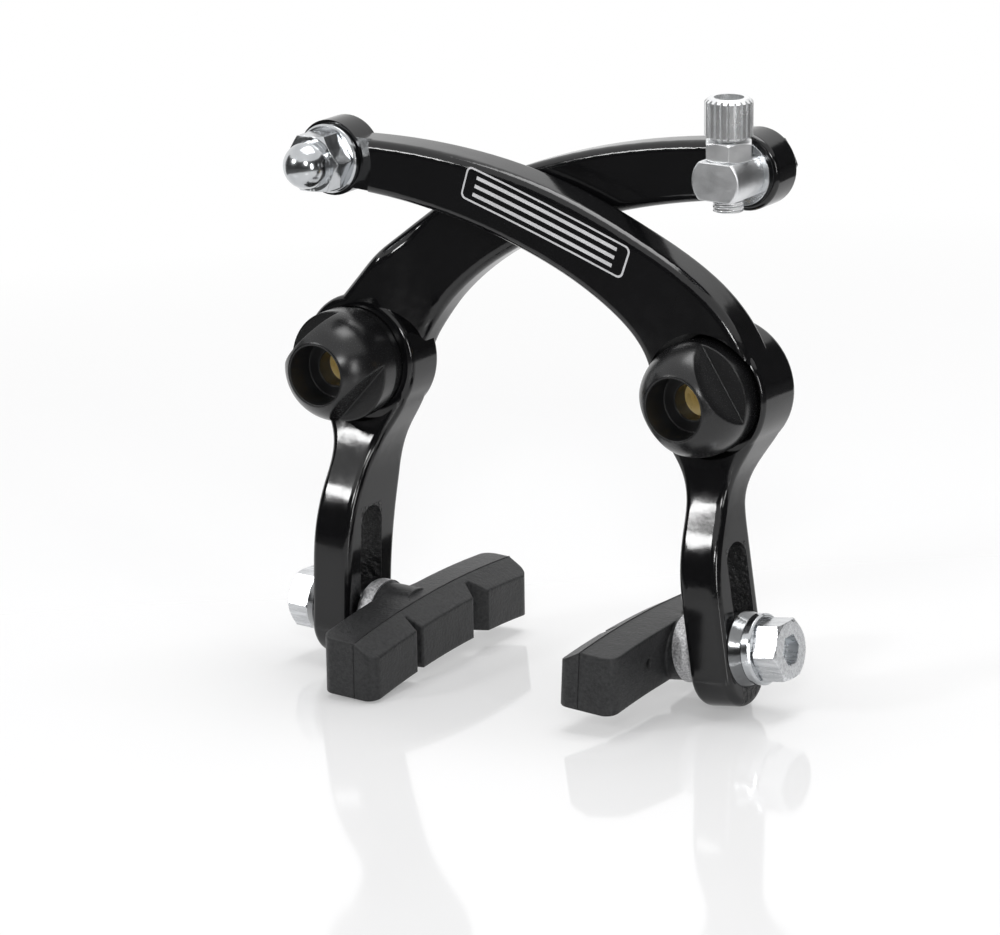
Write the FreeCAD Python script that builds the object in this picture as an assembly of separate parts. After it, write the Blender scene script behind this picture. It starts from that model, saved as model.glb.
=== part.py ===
import FreeCAD, Part
import math
import os
from FreeCAD import Vector

# Bicycle rim brake of the crossing-arm kind. Millimetres, +Z up, the rider's view of the
# front along +Y. The origin lies midway between the two pivots, on the frame's seat plane.

# Pivots and hubs
PIVOT_SPACING = 75.0
STUD_R = 4.5
BUSH_WALL = 1.5
BUSH_FLANGE = 2.5
RUN_CLEAR = 0.05
END_PLAY = 0.1
FLANGE_CLEAR = 0.6
HUB_REAR = -3.0
HUB_FLOOR = 3.0
HUB_WALL = 0.6
HUB_EDGE = 1.2
FRONT_HUB_BACK_ROUND = 2.0
FRONT_HUB_FACE = -15.2
REAR_HUB_FACE = -12.0

# Upper arms: centre line stations as distance in from the pivot, height and depth
ROOT_DEPTH = 22.0
FRONT_BEND_IN = 4.0
FRONT_BEND_UP = 10.9
FRONT_BEND_DEPTH = 18.5
FRONT_SHOULDER_IN = 15.9
FRONT_SHOULDER_UP = 20.8
FRONT_SHOULDER_DEPTH = 14.4
FRONT_MIDDLE_IN = 31.9
FRONT_MIDDLE_UP = 28.7
FRONT_MIDDLE_DEPTH = 12.8
FRONT_NECK_IN = 61.9
FRONT_NECK_UP = 36.0
FRONT_NECK_DEPTH = 10.2
FRONT_TIP_UP = 37.0
FRONT_TIP_DEPTH = 8.9
FRONT_EYE_IN = 76.7
FRONT_EYE_UP = 37.5
REAR_BEND_IN = 6.2
REAR_BEND_UP = 9.9
REAR_BEND_DEPTH = 15.9
REAR_SHOULDER_IN = 14.7
REAR_SHOULDER_UP = 18.8
REAR_SHOULDER_DEPTH = 14.8
REAR_MIDDLE_IN = 32.6
REAR_MIDDLE_UP = 29.0
REAR_MIDDLE_DEPTH = 13.0
REAR_NECK_IN = 62.3
REAR_NECK_UP = 36.7
REAR_NECK_DEPTH = 11.2
REAR_TIP_UP = 38.2
REAR_TIP_DEPTH = 10.4
REAR_EYE_IN = 79.9
REAR_EYE_UP = 38.1
EYE_R = 6.9
EYE_EDGE = 0.9
EYE_HOLE_CLEAR = 0.1
ARM_EDGE = 1.8

# Upper arms: the planes that let one arm pass in front of the other
FRONT_ARM_FACE = -16.0
FRONT_ARM_BACK = -7.4
ARM_GAP = 0.6
REAR_ARM_THICK = 7.2
CROSS_START = 4.0
CROSS_END = 14.0

# Legs, in a frame that leans outward about the pivot
LEG_LEAN = 5.0
LEG_INSET = 1.45
LEG_THICK = 8.2
LEG_WIDTH = 15.2
LEG_FRONT = -22.8
LEG_BOTTOM = -55.2
LEG_BACK_INSET = 0.6
FRONT_LEG_SLIMMER = 1.9
FRONT_LEG_STEP_TOP = -8.0
REAR_LEG_STEP_TOP = -1.0
LEG_STEP_END = -36.0
LEG_BACK_STEP_TOP = -4.0
FRONT_BACK_STEP_END = -24.0
REAR_BACK_STEP_END = -44.0
LEG_NECK_END = -21.0
LEG_EDGE = 1.5
SLOT_PLAY = 0.35
SLOT_TOP = -26.0
SLOT_END_WALL = 4.2

# Spring caps
CAP_STAND_OFF = 2.4
CAP_SKIRT = 2.8
CAP_DOME = 8.3
CAP_LEDGE = 0.5
CAP_ROOM = 1.1
COUNTERBORE_R = 5.5
COUNTERBORE_DEPTH = 6.0
BOLT_HOLE_R = 3.25
CAP_FLANGE = 3.4
SPIGOT_REACH = 3.6
SPIGOT_CLEAR = 0.2
CAP_WALL = 0.8
WRENCH_FLATS = 13.0
FLAT_DEPTH = 7.4
LEFT_FLAT_TURN = 45.0
RIGHT_FLAT_TURN = 30.0

# Return springs
SPRING_WIRE = 1.5
SPRING_ROOM = 0.25
SPRING_TURNS = 3.5
SPRING_STEPS = 18
WIRE_SIDES = 8
SPRING_PLAY = 0.15
SLEEVE_WALL = 0.85

# Pad assemblies, along the post that crosses the leg
POST_UP = 9.2
POST_R = 2.95
POST_HEAD_R = 4.2
POST_HEAD_THICK = 1.8
THREAD_CLEAR = 0.05
DOME_WASHER_R = 6.2
DOME_WASHER_THICK = 3.6
DOME_ROUND = 2.2
CONE_WASHER_R = 6.9
CONE_WASHER_THICK = 1.9
CONE_WASHER_TIP_R = 5.9
FLAT_WASHER_R = 6.3
FLAT_WASHER_THICK = 2.0
WASHER_EDGE = 0.35
NUT_FLATS = 10.0
NUT_TURN = 30.0
NUT_LENGTH = 4.8
SOCKET_FLATS = 5.0
SOCKET_DEPTH = 2.6
PAD_LENGTH = 51.4
PAD_HEIGHT = 10.4
PAD_THICK = 13.0
PAD_END_THICK = 11.4
PAD_SLIM_THICK = 9.4
PAD_BOSS_R = 5.8
PAD_END_ROUND = 2.3
PAD_SHIFT = 2.3
LEFT_PAD_TILT = 3.2
RIGHT_PAD_TILT = 0.0
LEFT_PAD_CAMBER = 0.0
RIGHT_PAD_CAMBER = 11.0
RIGHT_PAD_RAISE = 0.8
RIM_R = 205.0
PAD_BEVEL_DROP = 2.6
PAD_BEVEL_IN = 4.4
NARROW_GROOVE = 2.0
NARROW_GROOVE_FLOOR = 0.5
NARROW_GROOVE_AT = -8.5
WIDE_GROOVE = 5.0
WIDE_GROOVE_FLOOR = 1.2
WIDE_GROOVE_AT = 11.5
GROOVE_DEPTH = 3.0
PIN_HOLE_R = 0.8
PIN_HOLE_AT = -11.5
PIN_HOLE_DEPTH = 3.0

# Cable anchor on the front arm
ANCHOR_R = 2.95
SPOT_FACE_R = 10.2
SPOT_FACE_DEPTH = 2.2
ANCHOR_WASHER_R = 6.3
ANCHOR_WASHER_THICK = 1.4
ACORN_FLATS = 10.0
ACORN_HEX = 5.0
ACORN_DOME_R = 4.2
ACORN_NECK = 1.3
ANCHOR_HEAD_FLATS = 8.0
ANCHOR_HEAD = 2.6

# Cable stop on the rear arm
STOP_R = 4.7
STOP_FLATS = 6.6
STOP_LENGTH = 8.9
STOP_EDGE = 0.5
STOP_SHANK_R = 2.95
STOP_WASHER_R = 5.7
STOP_WASHER_THICK = 0.8
STOP_NUT_FLATS = 9.0
STOP_NUT = 3.2
STOP_TURN = 3.4
BARREL_R = 4.2
BARREL_HEAD = 7.2
BARREL_RIBS = 22
RIB_DEPTH = 0.45
RIB_LAND = 0.5
RIB_FLOOR_START = 0.62
RIB_FLOOR_END = 0.88
BARREL_THREAD_R = 2.65
BARREL_END = 2.4
BARREL_CHAMFER = 0.7
HOUSING_R = 2.6
HOUSING_DEPTH = 6.0
BARREL_WIRE_R = 1.1
LOCK_NUT_FLATS = 7.8
LOCK_NUT = 3.3
LOCK_NUT_CLEAR = 0.15
BARREL_GAP = 0.3

# Shared by all hexagons and cuts
HEX_CHAMFER = 30.0
CORNER_SPARE = 0.05
OVERRUN = 1.0

PIVOT_X = PIVOT_SPACING / 2
FRONT = Vector(0, -1, 0)
BACK = Vector(0, 1, 0)
UP = Vector(0, 0, 1)
RIGHT = Vector(1, 0, 0)
ORIGIN = Vector(0, 0, 0)
FAR = 200.0
REAR_ARM_FACE = FRONT_ARM_BACK + ARM_GAP
REAR_ARM_BACK = REAR_ARM_FACE + REAR_ARM_THICK
BUSH_R = STUD_R + BUSH_WALL
BORE_R = BUSH_R + RUN_CLEAR
SLEEVE_R = BORE_R + SLEEVE_WALL
SPRING_R = SLEEVE_R + SPRING_ROOM + SPRING_WIRE / 2
CAVITY_R = SPRING_R + SPRING_WIRE / 2 + SPRING_ROOM
SPIGOT_R = CAVITY_R + CAP_WALL
CAP_DOME_R = SPIGOT_R + CAP_LEDGE
CAP_POCKET_R = CAP_DOME_R + CAP_ROOM
HUB_R = CAP_POCKET_R + HUB_WALL
SPRING_SEAT = HUB_REAR - HUB_FLOOR
CAP_SKIRT_END = REAR_HUB_FACE - CAP_STAND_OFF
CAP_DOME_CENTRE = CAP_SKIRT_END - CAP_SKIRT
CAP_MOUTH = CAP_DOME_CENTRE - CAP_DOME
FLANGE_FACE = CAP_MOUTH + COUNTERBORE_DEPTH
FLANGE_BACK = FLANGE_FACE + CAP_FLANGE
LEG_INNER = -LEG_INSET - LEG_THICK / 2
LEG_OUTER = -LEG_INSET + LEG_THICK / 2
LEG_BACK = LEG_FRONT + LEG_WIDTH
LEG_MIDDLE = (LEG_FRONT + LEG_BACK) / 2
FRONT_LEG_BACK = LEG_BACK - FRONT_LEG_SLIMMER
POST_DOWN = LEG_BOTTOM + POST_UP
LEG_TOP_BACK = HUB_REAR - LEG_BACK_INSET
SLOT_HALF = POST_R + SLOT_PLAY


def rod(radius, start, end):
    """A round bar between two points."""
    run = end - start
    return Part.makeCylinder(radius, run.Length, start, run)


def tube(outer, inner, start, end):
    """A round sleeve between two points."""
    return rod(outer, start, end).cut(rod(inner, start, end))


def hexagon(flats, start, end, turn=0.0):
    """A hexagonal bar between two points, turned about its own axis."""
    run = end - start
    corners = []
    for step in range(7):
        angle = math.radians(60 * step + turn)
        corner = flats / math.sqrt(3)
        corners.append(Vector(corner * math.cos(angle), corner * math.sin(angle), 0))
    bar = Part.Face(Part.makePolygon(corners)).extrude(Vector(0, 0, run.Length))
    bar.Placement = FreeCAD.Placement(start, FreeCAD.Rotation(UP, run))
    return bar


def chamfered_hexagon(flats, start, end, turn=0.0):
    """A hexagonal bar whose corners are turned off at both ends."""
    axis = (end - start).normalize()
    outside = flats / math.sqrt(3) + CORNER_SPARE
    taper = (outside - flats / 2) * math.tan(math.radians(HEX_CHAMFER))
    low_end = start + axis * taper
    high_start = end - axis * taper
    low = Part.makeCone(flats / 2, outside, taper, start, axis)
    high = Part.makeCone(outside, flats / 2, taper, high_start, axis)
    envelope = rod(outside, low_end, high_start).fuse([low, high])
    return hexagon(flats, start, end, turn).common(envelope)


def s_curve(start, end, along):
    """A curve that leaves and arrives in one direction."""
    half = along * ((end - start).dot(along) / 2)
    bend = Part.BezierCurve()
    bend.setPoles([start, start + half, end - half, end])
    return bend.toShape()


def line(start, end):
    return Part.LineSegment(start, end).toShape()


def prism(edges, run):
    """The solid swept by a closed outline."""
    return Part.Face(Part.Wire(edges)).extrude(run)


def bevelled(solid, size):
    """Turn off the round edges of a washer."""
    edges = [edge for edge in solid.Edges if edge.Closed]
    return solid.makeChamfer(size, edges)


def smoothed(solid, radius, chosen):
    """Round the chosen edges of a solid."""
    edges = [edge for edge in solid.Edges if chosen(edge)]
    return solid.makeFillet(radius, edges)


def leaned(shape):
    """Turn a shape from the upright leg frame to the leg's outward lean."""
    turned = shape.copy()
    turned.rotate(ORIGIN, BACK, -LEG_LEAN)
    return turned


def on_right(shape):
    moved = shape.copy()
    moved.translate(Vector(PIVOT_X, 0, 0))
    return moved


def on_left(shape):
    return on_right(shape).mirror(ORIGIN, RIGHT)


# Arms, built about the right pivot with the upper arm reaching towards -X
FRONT_STATIONS = [
    (0.0, 0.0, ROOT_DEPTH),
    (FRONT_BEND_IN, FRONT_BEND_UP, FRONT_BEND_DEPTH),
    (FRONT_SHOULDER_IN, FRONT_SHOULDER_UP, FRONT_SHOULDER_DEPTH),
    (FRONT_MIDDLE_IN, FRONT_MIDDLE_UP, FRONT_MIDDLE_DEPTH),
    (FRONT_NECK_IN, FRONT_NECK_UP, FRONT_NECK_DEPTH),
    (FRONT_EYE_IN, FRONT_TIP_UP, FRONT_TIP_DEPTH),
]
REAR_STATIONS = [
    (0.0, 0.0, ROOT_DEPTH),
    (REAR_BEND_IN, REAR_BEND_UP, REAR_BEND_DEPTH),
    (REAR_SHOULDER_IN, REAR_SHOULDER_UP, REAR_SHOULDER_DEPTH),
    (REAR_MIDDLE_IN, REAR_MIDDLE_UP, REAR_MIDDLE_DEPTH),
    (REAR_NECK_IN, REAR_NECK_UP, REAR_NECK_DEPTH),
    (REAR_EYE_IN, REAR_TIP_UP, REAR_TIP_DEPTH),
]


def beam_outline(stations):
    """The upper arm seen from the front, as a solid much deeper than the arm."""
    points = [Vector(-reach, FAR, rise) for reach, rise, depth in stations]
    centre = Part.BSplineCurve()
    centre.interpolate(points)
    outer = []
    inner = []
    for point, station in zip(points, stations):
        along = centre.tangent(centre.parameter(point))[0]
        side = along.cross(FRONT) * (station[2] / 2)
        outer.append(point + side)
        inner.append(point - side)
    top = Part.BSplineCurve()
    top.interpolate(outer)
    low = Part.BSplineCurve()
    low.interpolate(inner)
    edges = [top.toShape(), line(outer[-1], inner[-1]), low.toShape(), line(inner[0], outer[0])]
    return prism(Part.__sortEdges__(edges), FRONT * (2 * FAR))


def plan_side(steps, near, tip):
    """One side of the upper arm seen from above, stepped between two distances from the pivot."""
    (start, root), (end, level) = steps
    return [
        line(Vector(near, root, -FAR), Vector(-start, root, -FAR)),
        s_curve(Vector(-start, root, -FAR), Vector(-end, level, -FAR), -RIGHT),
        line(Vector(-end, level, -FAR), Vector(tip, level, -FAR)),
    ]


def beam(stations, faces, backs):
    """The upper arm: its front outline met by a plan that steps its faces."""
    near = HUB_R
    tip = -stations[-1][0]
    root_end = line(Vector(near, backs[0][1], -FAR), Vector(near, faces[0][1], -FAR))
    tip_end = line(Vector(tip, faces[1][1], -FAR), Vector(tip, backs[1][1], -FAR))
    edges = plan_side(faces, near, tip) + plan_side(backs, near, tip) + [root_end, tip_end]
    plan = Part.__sortEdges__(edges)
    solid = beam_outline(stations).common(prism(plan, UP * (2 * FAR)))

    def long_edge(edge):
        box = edge.BoundBox
        return box.ZMax > ARM_EDGE and box.XLength > ARM_EDGE

    return smoothed(solid, ARM_EDGE, long_edge)


def leg(top_front, step_top, low_back, back_step_end):
    """The leg below the hub: a side profile that steps forward, met by a front outline."""
    bottom_r = (low_back - LEG_FRONT) / 2
    bottom_centre = LEG_BOTTOM + bottom_r
    side_x = -FAR
    front_top = Vector(side_x, top_front, 0)
    front_step = Vector(side_x, top_front, step_top)
    front_low = Vector(side_x, LEG_FRONT, LEG_STEP_END)
    front_end = Vector(side_x, LEG_FRONT, bottom_centre)
    lowest = Vector(side_x, LEG_FRONT + bottom_r, LEG_BOTTOM)
    back_end = Vector(side_x, low_back, bottom_centre)
    back_low = Vector(side_x, low_back, back_step_end)
    back_step = Vector(side_x, LEG_TOP_BACK, LEG_BACK_STEP_TOP)
    back_top = Vector(side_x, LEG_TOP_BACK, 0)
    profile = [
        line(front_top, front_step),
        s_curve(front_step, front_low, -UP),
        line(front_low, front_end),
        Part.Arc(front_end, lowest, back_end).toShape(),
        line(back_end, back_low),
        s_curve(back_low, back_step, UP),
        line(back_step, back_top),
        line(back_top, front_top),
    ]
    side = prism(profile, RIGHT * (2 * FAR))

    near = FAR
    below = LEG_BOTTOM - LEG_WIDTH
    root = ROOT_DEPTH / 2
    inner_neck = Vector(LEG_INNER, near, LEG_NECK_END)
    outer_neck = Vector(LEG_OUTER, near, LEG_NECK_END)
    inner_root = Vector(-root, near, 0)
    outer_root = Vector(root, near, 0)
    outline = [
        s_curve(inner_root, inner_neck, -UP),
        line(inner_neck, Vector(LEG_INNER, near, below)),
        line(Vector(LEG_INNER, near, below), Vector(LEG_OUTER, near, below)),
        line(Vector(LEG_OUTER, near, below), outer_neck),
        s_curve(outer_neck, outer_root, UP),
        line(outer_root, inner_root),
    ]
    solid = side.common(prism(outline, FRONT * (2 * FAR)))

    def long_edge(edge):
        box = edge.BoundBox
        return box.ZMin < -LEG_EDGE and (box.ZLength > LEG_EDGE or box.YLength > LEG_WIDTH / 2)

    return smoothed(solid, LEG_EDGE, long_edge)


def slot():
    """The pad slot through the leg, round at both ends."""
    half = SLOT_HALF
    top = SLOT_TOP - half
    low = LEG_BOTTOM + SLOT_END_WALL + half
    x = -FAR
    edges = [
        line(Vector(x, LEG_MIDDLE - half, top), Vector(x, LEG_MIDDLE - half, low)),
        Part.Arc(
            Vector(x, LEG_MIDDLE - half, low),
            Vector(x, LEG_MIDDLE, low - half),
            Vector(x, LEG_MIDDLE + half, low),
        ).toShape(),
        line(Vector(x, LEG_MIDDLE + half, low), Vector(x, LEG_MIDDLE + half, top)),
        Part.Arc(
            Vector(x, LEG_MIDDLE + half, top),
            Vector(x, LEG_MIDDLE, top + half),
            Vector(x, LEG_MIDDLE - half, top),
        ).toShape(),
    ]
    return prism(edges, RIGHT * (2 * FAR))


def arm(body, foot, hub_face, back_round, tip_face, tip_back, eye_at, eye_bolt_r):
    """One forged arm about its pivot, with the hub bored for its bush and spring."""
    hub = rod(HUB_R, Vector(0, HUB_REAR, 0), Vector(0, hub_face, 0))
    middle = (HUB_REAR + hub_face) / 2
    hub = smoothed(hub, HUB_EDGE, lambda edge: edge.Closed and edge.BoundBox.Center.y < middle)
    hub = smoothed(hub, back_round, lambda edge: edge.Closed and edge.BoundBox.YMin > middle)
    eye = rod(EYE_R, eye_at + BACK * tip_back, eye_at + BACK * tip_face)
    eye = smoothed(eye, EYE_EDGE, lambda edge: edge.Closed)
    solid = hub.fuse([body, leaned(foot), eye]).removeSplitter()
    bore = rod(BORE_R, BACK * FAR, FRONT * FAR)
    pocket = tube(SPIGOT_R + SPIGOT_CLEAR, SLEEVE_R, BACK * SPRING_SEAT, FRONT * FAR)
    front_room = rod(CAP_POCKET_R, BACK * REAR_HUB_FACE, FRONT * FAR)
    rear_room = rod(BUSH_R + BUSH_FLANGE + FLANGE_CLEAR, BACK * HUB_REAR, BACK * FAR)
    eye_hole = rod(eye_bolt_r + EYE_HOLE_CLEAR, eye_at + BACK * FAR, eye_at + FRONT * FAR)
    return solid.cut([bore, pocket, front_room, rear_room, eye_hole, leaned(slot())])


def front_arm():
    faces = [(CROSS_START, FRONT_ARM_FACE), (CROSS_END, FRONT_ARM_FACE)]
    backs = [(CROSS_START, FRONT_ARM_BACK), (CROSS_END, FRONT_ARM_BACK)]
    solid = arm(
        beam(FRONT_STATIONS, faces, backs),
        leg(FRONT_HUB_FACE, FRONT_LEG_STEP_TOP, FRONT_LEG_BACK, FRONT_BACK_STEP_END),
        FRONT_HUB_FACE,
        FRONT_HUB_BACK_ROUND,
        FRONT_ARM_FACE,
        FRONT_ARM_BACK,
        anchor_point(0),
        ANCHOR_R,
    )
    floor = anchor_point(SPOT_FLOOR)
    return solid.cut(rod(SPOT_FACE_R, floor, floor + FRONT * FAR))


def rear_arm():
    faces = [(CROSS_START, REAR_HUB_FACE), (CROSS_END, REAR_ARM_FACE)]
    backs = [(CROSS_START, HUB_REAR), (CROSS_END, REAR_ARM_BACK)]
    return arm(
        beam(REAR_STATIONS, faces, backs),
        leg(REAR_HUB_FACE, REAR_LEG_STEP_TOP, LEG_BACK, REAR_BACK_STEP_END),
        REAR_HUB_FACE,
        HUB_EDGE,
        REAR_ARM_FACE,
        REAR_ARM_BACK,
        stop_point(0),
        STOP_SHANK_R,
    )


# Pivot pieces, built about their own axis
def pivot_bush():
    """Brass bush that slips over the frame's stud, flanged at the frame."""
    flange = rod(BUSH_R + BUSH_FLANGE, ORIGIN, BACK * (HUB_REAR + END_PLAY))
    sleeve = rod(BUSH_R, ORIGIN, BACK * FLANGE_BACK)
    return flange.fuse(sleeve).removeSplitter().cut(rod(STUD_R, BACK * FAR, FRONT * FAR))


def spring_cap(flat_turn):
    """Domed cap that holds the spring, with two flats for a spanner."""
    mouth_r = math.sqrt(CAP_DOME_R ** 2 - (CAP_MOUTH - CAP_DOME_CENTRE) ** 2)
    middle_y = (CAP_MOUTH + CAP_DOME_CENTRE) / 2
    middle_r = math.sqrt(CAP_DOME_R ** 2 - (middle_y - CAP_DOME_CENTRE) ** 2)
    spigot_end = CAP_SKIRT_END + SPIGOT_REACH
    corners = [
        Vector(CAP_DOME_R, CAP_DOME_CENTRE, 0),
        Vector(CAP_DOME_R, CAP_SKIRT_END, 0),
        Vector(SPIGOT_R, CAP_SKIRT_END, 0),
        Vector(SPIGOT_R, spigot_end, 0),
        Vector(CAVITY_R, spigot_end, 0),
        Vector(CAVITY_R, FLANGE_BACK, 0),
        Vector(BOLT_HOLE_R, FLANGE_BACK, 0),
        Vector(BOLT_HOLE_R, FLANGE_FACE, 0),
        Vector(COUNTERBORE_R, FLANGE_FACE, 0),
        Vector(COUNTERBORE_R, CAP_MOUTH, 0),
        Vector(mouth_r, CAP_MOUTH, 0),
    ]
    edges = [line(start, end) for start, end in zip(corners, corners[1:])]
    dome = Part.Arc(corners[-1], Vector(middle_r, middle_y, 0), corners[0])
    cap = Part.Face(Part.Wire(edges + [dome.toShape()])).revolve(ORIGIN, BACK, 360)
    half = WRENCH_FLATS / 2
    size = 2 * CAP_DOME_R
    for side in (1, -1):
        low = half if side > 0 else -half - size
        corner = Vector(low, CAP_MOUTH - size, -size)
        block = Part.makeBox(size, size + FLAT_DEPTH, 2 * size, corner)
        block.rotate(ORIGIN, FRONT, flat_turn)
        cap = cap.cut(block)
    return cap


def spring_ring(step, start, rise):
    """The wire's cross-section at one step round the coil."""
    turn = 2 * math.pi * step / SPRING_STEPS
    ring = []
    for side in range(WIRE_SIDES):
        angle = 2 * math.pi * side / WIRE_SIDES
        reach = SPRING_R + SPRING_WIRE / 2 * math.cos(angle)
        y = start + rise * step + SPRING_WIRE / 2 * math.sin(angle)
        ring.append(Vector(reach * math.cos(turn), y, reach * math.sin(turn)))
    return ring


def triangle(first, second, third):
    return Part.Face(Part.makePolygon([first, second, third, first]))


def return_spring():
    """Torsion spring coiled round the sleeve, between the hub pocket and the cap."""
    start = SPRING_SEAT - SPRING_PLAY - SPRING_WIRE / 2
    end = FLANGE_BACK + SPRING_PLAY + SPRING_WIRE / 2
    steps = int(SPRING_TURNS * SPRING_STEPS)
    rings = [spring_ring(step, start, (end - start) / steps) for step in range(steps + 1)]
    faces = [
        Part.Face(Part.makePolygon(rings[0] + rings[0][:1])),
        Part.Face(Part.makePolygon(rings[-1] + rings[-1][:1])),
    ]
    for near, far in zip(rings, rings[1:]):
        for side in range(WIRE_SIDES):
            after = (side + 1) % WIRE_SIDES
            faces.append(triangle(near[side], near[after], far[side]))
            faces.append(triangle(near[after], far[after], far[side]))
    coil = Part.Solid(Part.Shell(faces))
    if coil.Volume < 0:
        coil.reverse()
    return coil


# Pad pieces, built in the upright leg frame with the post along X
def post_point(x):
    return Vector(x, LEG_MIDDLE, POST_DOWN)


PAD_BACK_X = LEG_INNER - DOME_WASHER_THICK
PAD_FACE_X = PAD_BACK_X - PAD_THICK
CONE_END_X = LEG_OUTER + CONE_WASHER_THICK
WASHER_END_X = CONE_END_X + FLAT_WASHER_THICK
POST_HEAD_X = PAD_FACE_X + PAD_THICK / 2


def tilted(shape, angle, camber):
    """Set a pad to its rest angles: about its post, and tipped at its boss."""
    turned = shape.copy()
    turned.rotate(post_point(0), RIGHT, angle)
    turned.rotate(post_point(PAD_BACK_X), BACK, camber)
    return turned


def pad_side_view():
    """The pad seen along its post: an arched strip that follows the rim."""
    half = PAD_LENGTH / 2
    centre_y = LEG_MIDDLE + PAD_SHIFT
    outer_r = RIM_R + PAD_HEIGHT / 2
    inner_r = RIM_R - PAD_HEIGHT / 2

    def on_arc(radius, offset):
        drop = math.sqrt(radius ** 2 - offset ** 2) - RIM_R
        return Vector(-FAR, centre_y + offset, POST_DOWN + drop)

    edges = [
        Part.Arc(on_arc(outer_r, -half), on_arc(outer_r, 0), on_arc(outer_r, half)).toShape(),
        line(on_arc(outer_r, half), on_arc(inner_r, half)),
        Part.Arc(on_arc(inner_r, half), on_arc(inner_r, 0), on_arc(inner_r, -half)).toShape(),
        line(on_arc(inner_r, -half), on_arc(outer_r, -half)),
    ]
    return prism(edges, RIGHT * (2 * FAR))


def pad_plan():
    """The pad seen from above: thicker in front of the post than behind it, square ends."""
    half = PAD_LENGTH / 2
    front = LEG_MIDDLE + PAD_SHIFT - half
    back = LEG_MIDDLE + PAD_SHIFT + half
    level = -FAR
    face = PAD_FACE_X
    slim = face + PAD_SLIM_THICK
    end = face + PAD_END_THICK
    front_slim = Vector(end, LEG_MIDDLE - PAD_BOSS_R, level)
    back_slim = Vector(slim, LEG_MIDDLE + PAD_BOSS_R, level)
    edges = [
        line(Vector(face, front, level), Vector(end, front, level)),
        line(Vector(end, front, level), front_slim),
        s_curve(front_slim, back_slim, BACK),
        line(back_slim, Vector(slim, back, level)),
        line(Vector(slim, back, level), Vector(face, back, level)),
        line(Vector(face, back, level), Vector(face, front, level)),
    ]
    return prism(edges, UP * (2 * FAR))


def groove(at, width, floor_width):
    """A V groove across the pad's rim face."""
    middle = LEG_MIDDLE + at
    level = -FAR
    lip = PAD_FACE_X - OVERRUN
    floor = PAD_FACE_X + GROOVE_DEPTH
    corners = [
        Vector(lip, middle - width / 2, level),
        Vector(PAD_FACE_X, middle - width / 2, level),
        Vector(floor, middle - floor_width / 2, level),
        Vector(floor, middle + floor_width / 2, level),
        Vector(PAD_FACE_X, middle + width / 2, level),
        Vector(lip, middle + width / 2, level),
    ]
    outline = Part.Face(Part.makePolygon(corners + [corners[0]]))
    return outline.extrude(UP * (2 * FAR))


def at_pad_end(edge):
    """True for the upright corners of the pad's two ends."""
    box = edge.BoundBox
    middle = LEG_MIDDLE + PAD_SHIFT
    far = abs(box.Center.y - middle) > PAD_LENGTH / 2 - PAD_END_ROUND
    return far and box.ZLength > PAD_HEIGHT / 2


def brake_pad(tilt, camber):
    """Rubber pad: arched strip with a round boss, bevelled and grooved rim face."""
    pad = pad_side_view().common(pad_plan())
    pad = smoothed(pad, PAD_END_ROUND, at_pad_end)
    top_r = RIM_R + PAD_HEIGHT / 2
    slope = PAD_BEVEL_DROP / PAD_BEVEL_IN
    run = PAD_BEVEL_IN + OVERRUN
    start = Vector(PAD_FACE_X - OVERRUN, LEG_MIDDLE + PAD_SHIFT, POST_DOWN - RIM_R)
    bevel = Part.makeCone(top_r - slope * run, top_r, run, start, RIGHT)
    pad = pad.cut(rod(2 * RIM_R, start, start + RIGHT * run).cut(bevel))
    pad = pad.cut(groove(NARROW_GROOVE_AT, NARROW_GROOVE, NARROW_GROOVE_FLOOR))
    pad = pad.cut(groove(WIDE_GROOVE_AT, WIDE_GROOVE, WIDE_GROOVE_FLOOR))
    hole_at = Vector(PAD_FACE_X + PAD_END_THICK, LEG_MIDDLE + PIN_HOLE_AT, POST_DOWN)
    pad = pad.cut(rod(PIN_HOLE_R, hole_at - RIGHT * PIN_HOLE_DEPTH, hole_at + RIGHT * PAD_THICK))
    pad = tilted(pad, tilt, camber)
    boss = rod(PAD_BOSS_R, post_point(POST_HEAD_X), post_point(PAD_BACK_X))
    pad = pad.cut(rod(FAR, post_point(PAD_BACK_X), post_point(FAR))).fuse(boss).removeSplitter()
    stud_hole = rod(POST_R, post_point(POST_HEAD_X), post_point(FAR))
    return pad.cut([stud_hole, post_head()])


def post_head():
    """The flat head that the rubber is moulded round."""
    return rod(POST_HEAD_R, post_point(POST_HEAD_X - POST_HEAD_THICK), post_point(POST_HEAD_X))


def pad_post(nut_seat):
    """Threaded steel stud with a flat head inside the pad."""
    end = nut_seat + NUT_LENGTH - SOCKET_DEPTH
    stud = rod(POST_R, post_point(POST_HEAD_X), post_point(end))
    return post_head().fuse(stud).removeSplitter()


def post_hole():
    return rod(POST_R + THREAD_CLEAR, post_point(-FAR), post_point(FAR))


def dome_washer():
    """Thick washer between pad and leg, rounded towards the leg."""
    solid = rod(DOME_WASHER_R, post_point(PAD_BACK_X), post_point(LEG_INNER))
    middle_x = (PAD_BACK_X + LEG_INNER) / 2
    solid = smoothed(solid, DOME_ROUND, lambda e: e.Closed and e.BoundBox.Center.x > middle_x)
    return solid.cut(post_hole())


def cone_washer():
    """Outer washer against the leg, tapered towards the nut."""
    start = post_point(LEG_OUTER)
    cone = Part.makeCone(CONE_WASHER_R, CONE_WASHER_TIP_R, CONE_WASHER_THICK, start, RIGHT)
    return cone.cut(post_hole())


def flat_washer():
    washer = rod(FLAT_WASHER_R, post_point(CONE_END_X), post_point(WASHER_END_X))
    return bevelled(washer, WASHER_EDGE).cut(post_hole())


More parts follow.
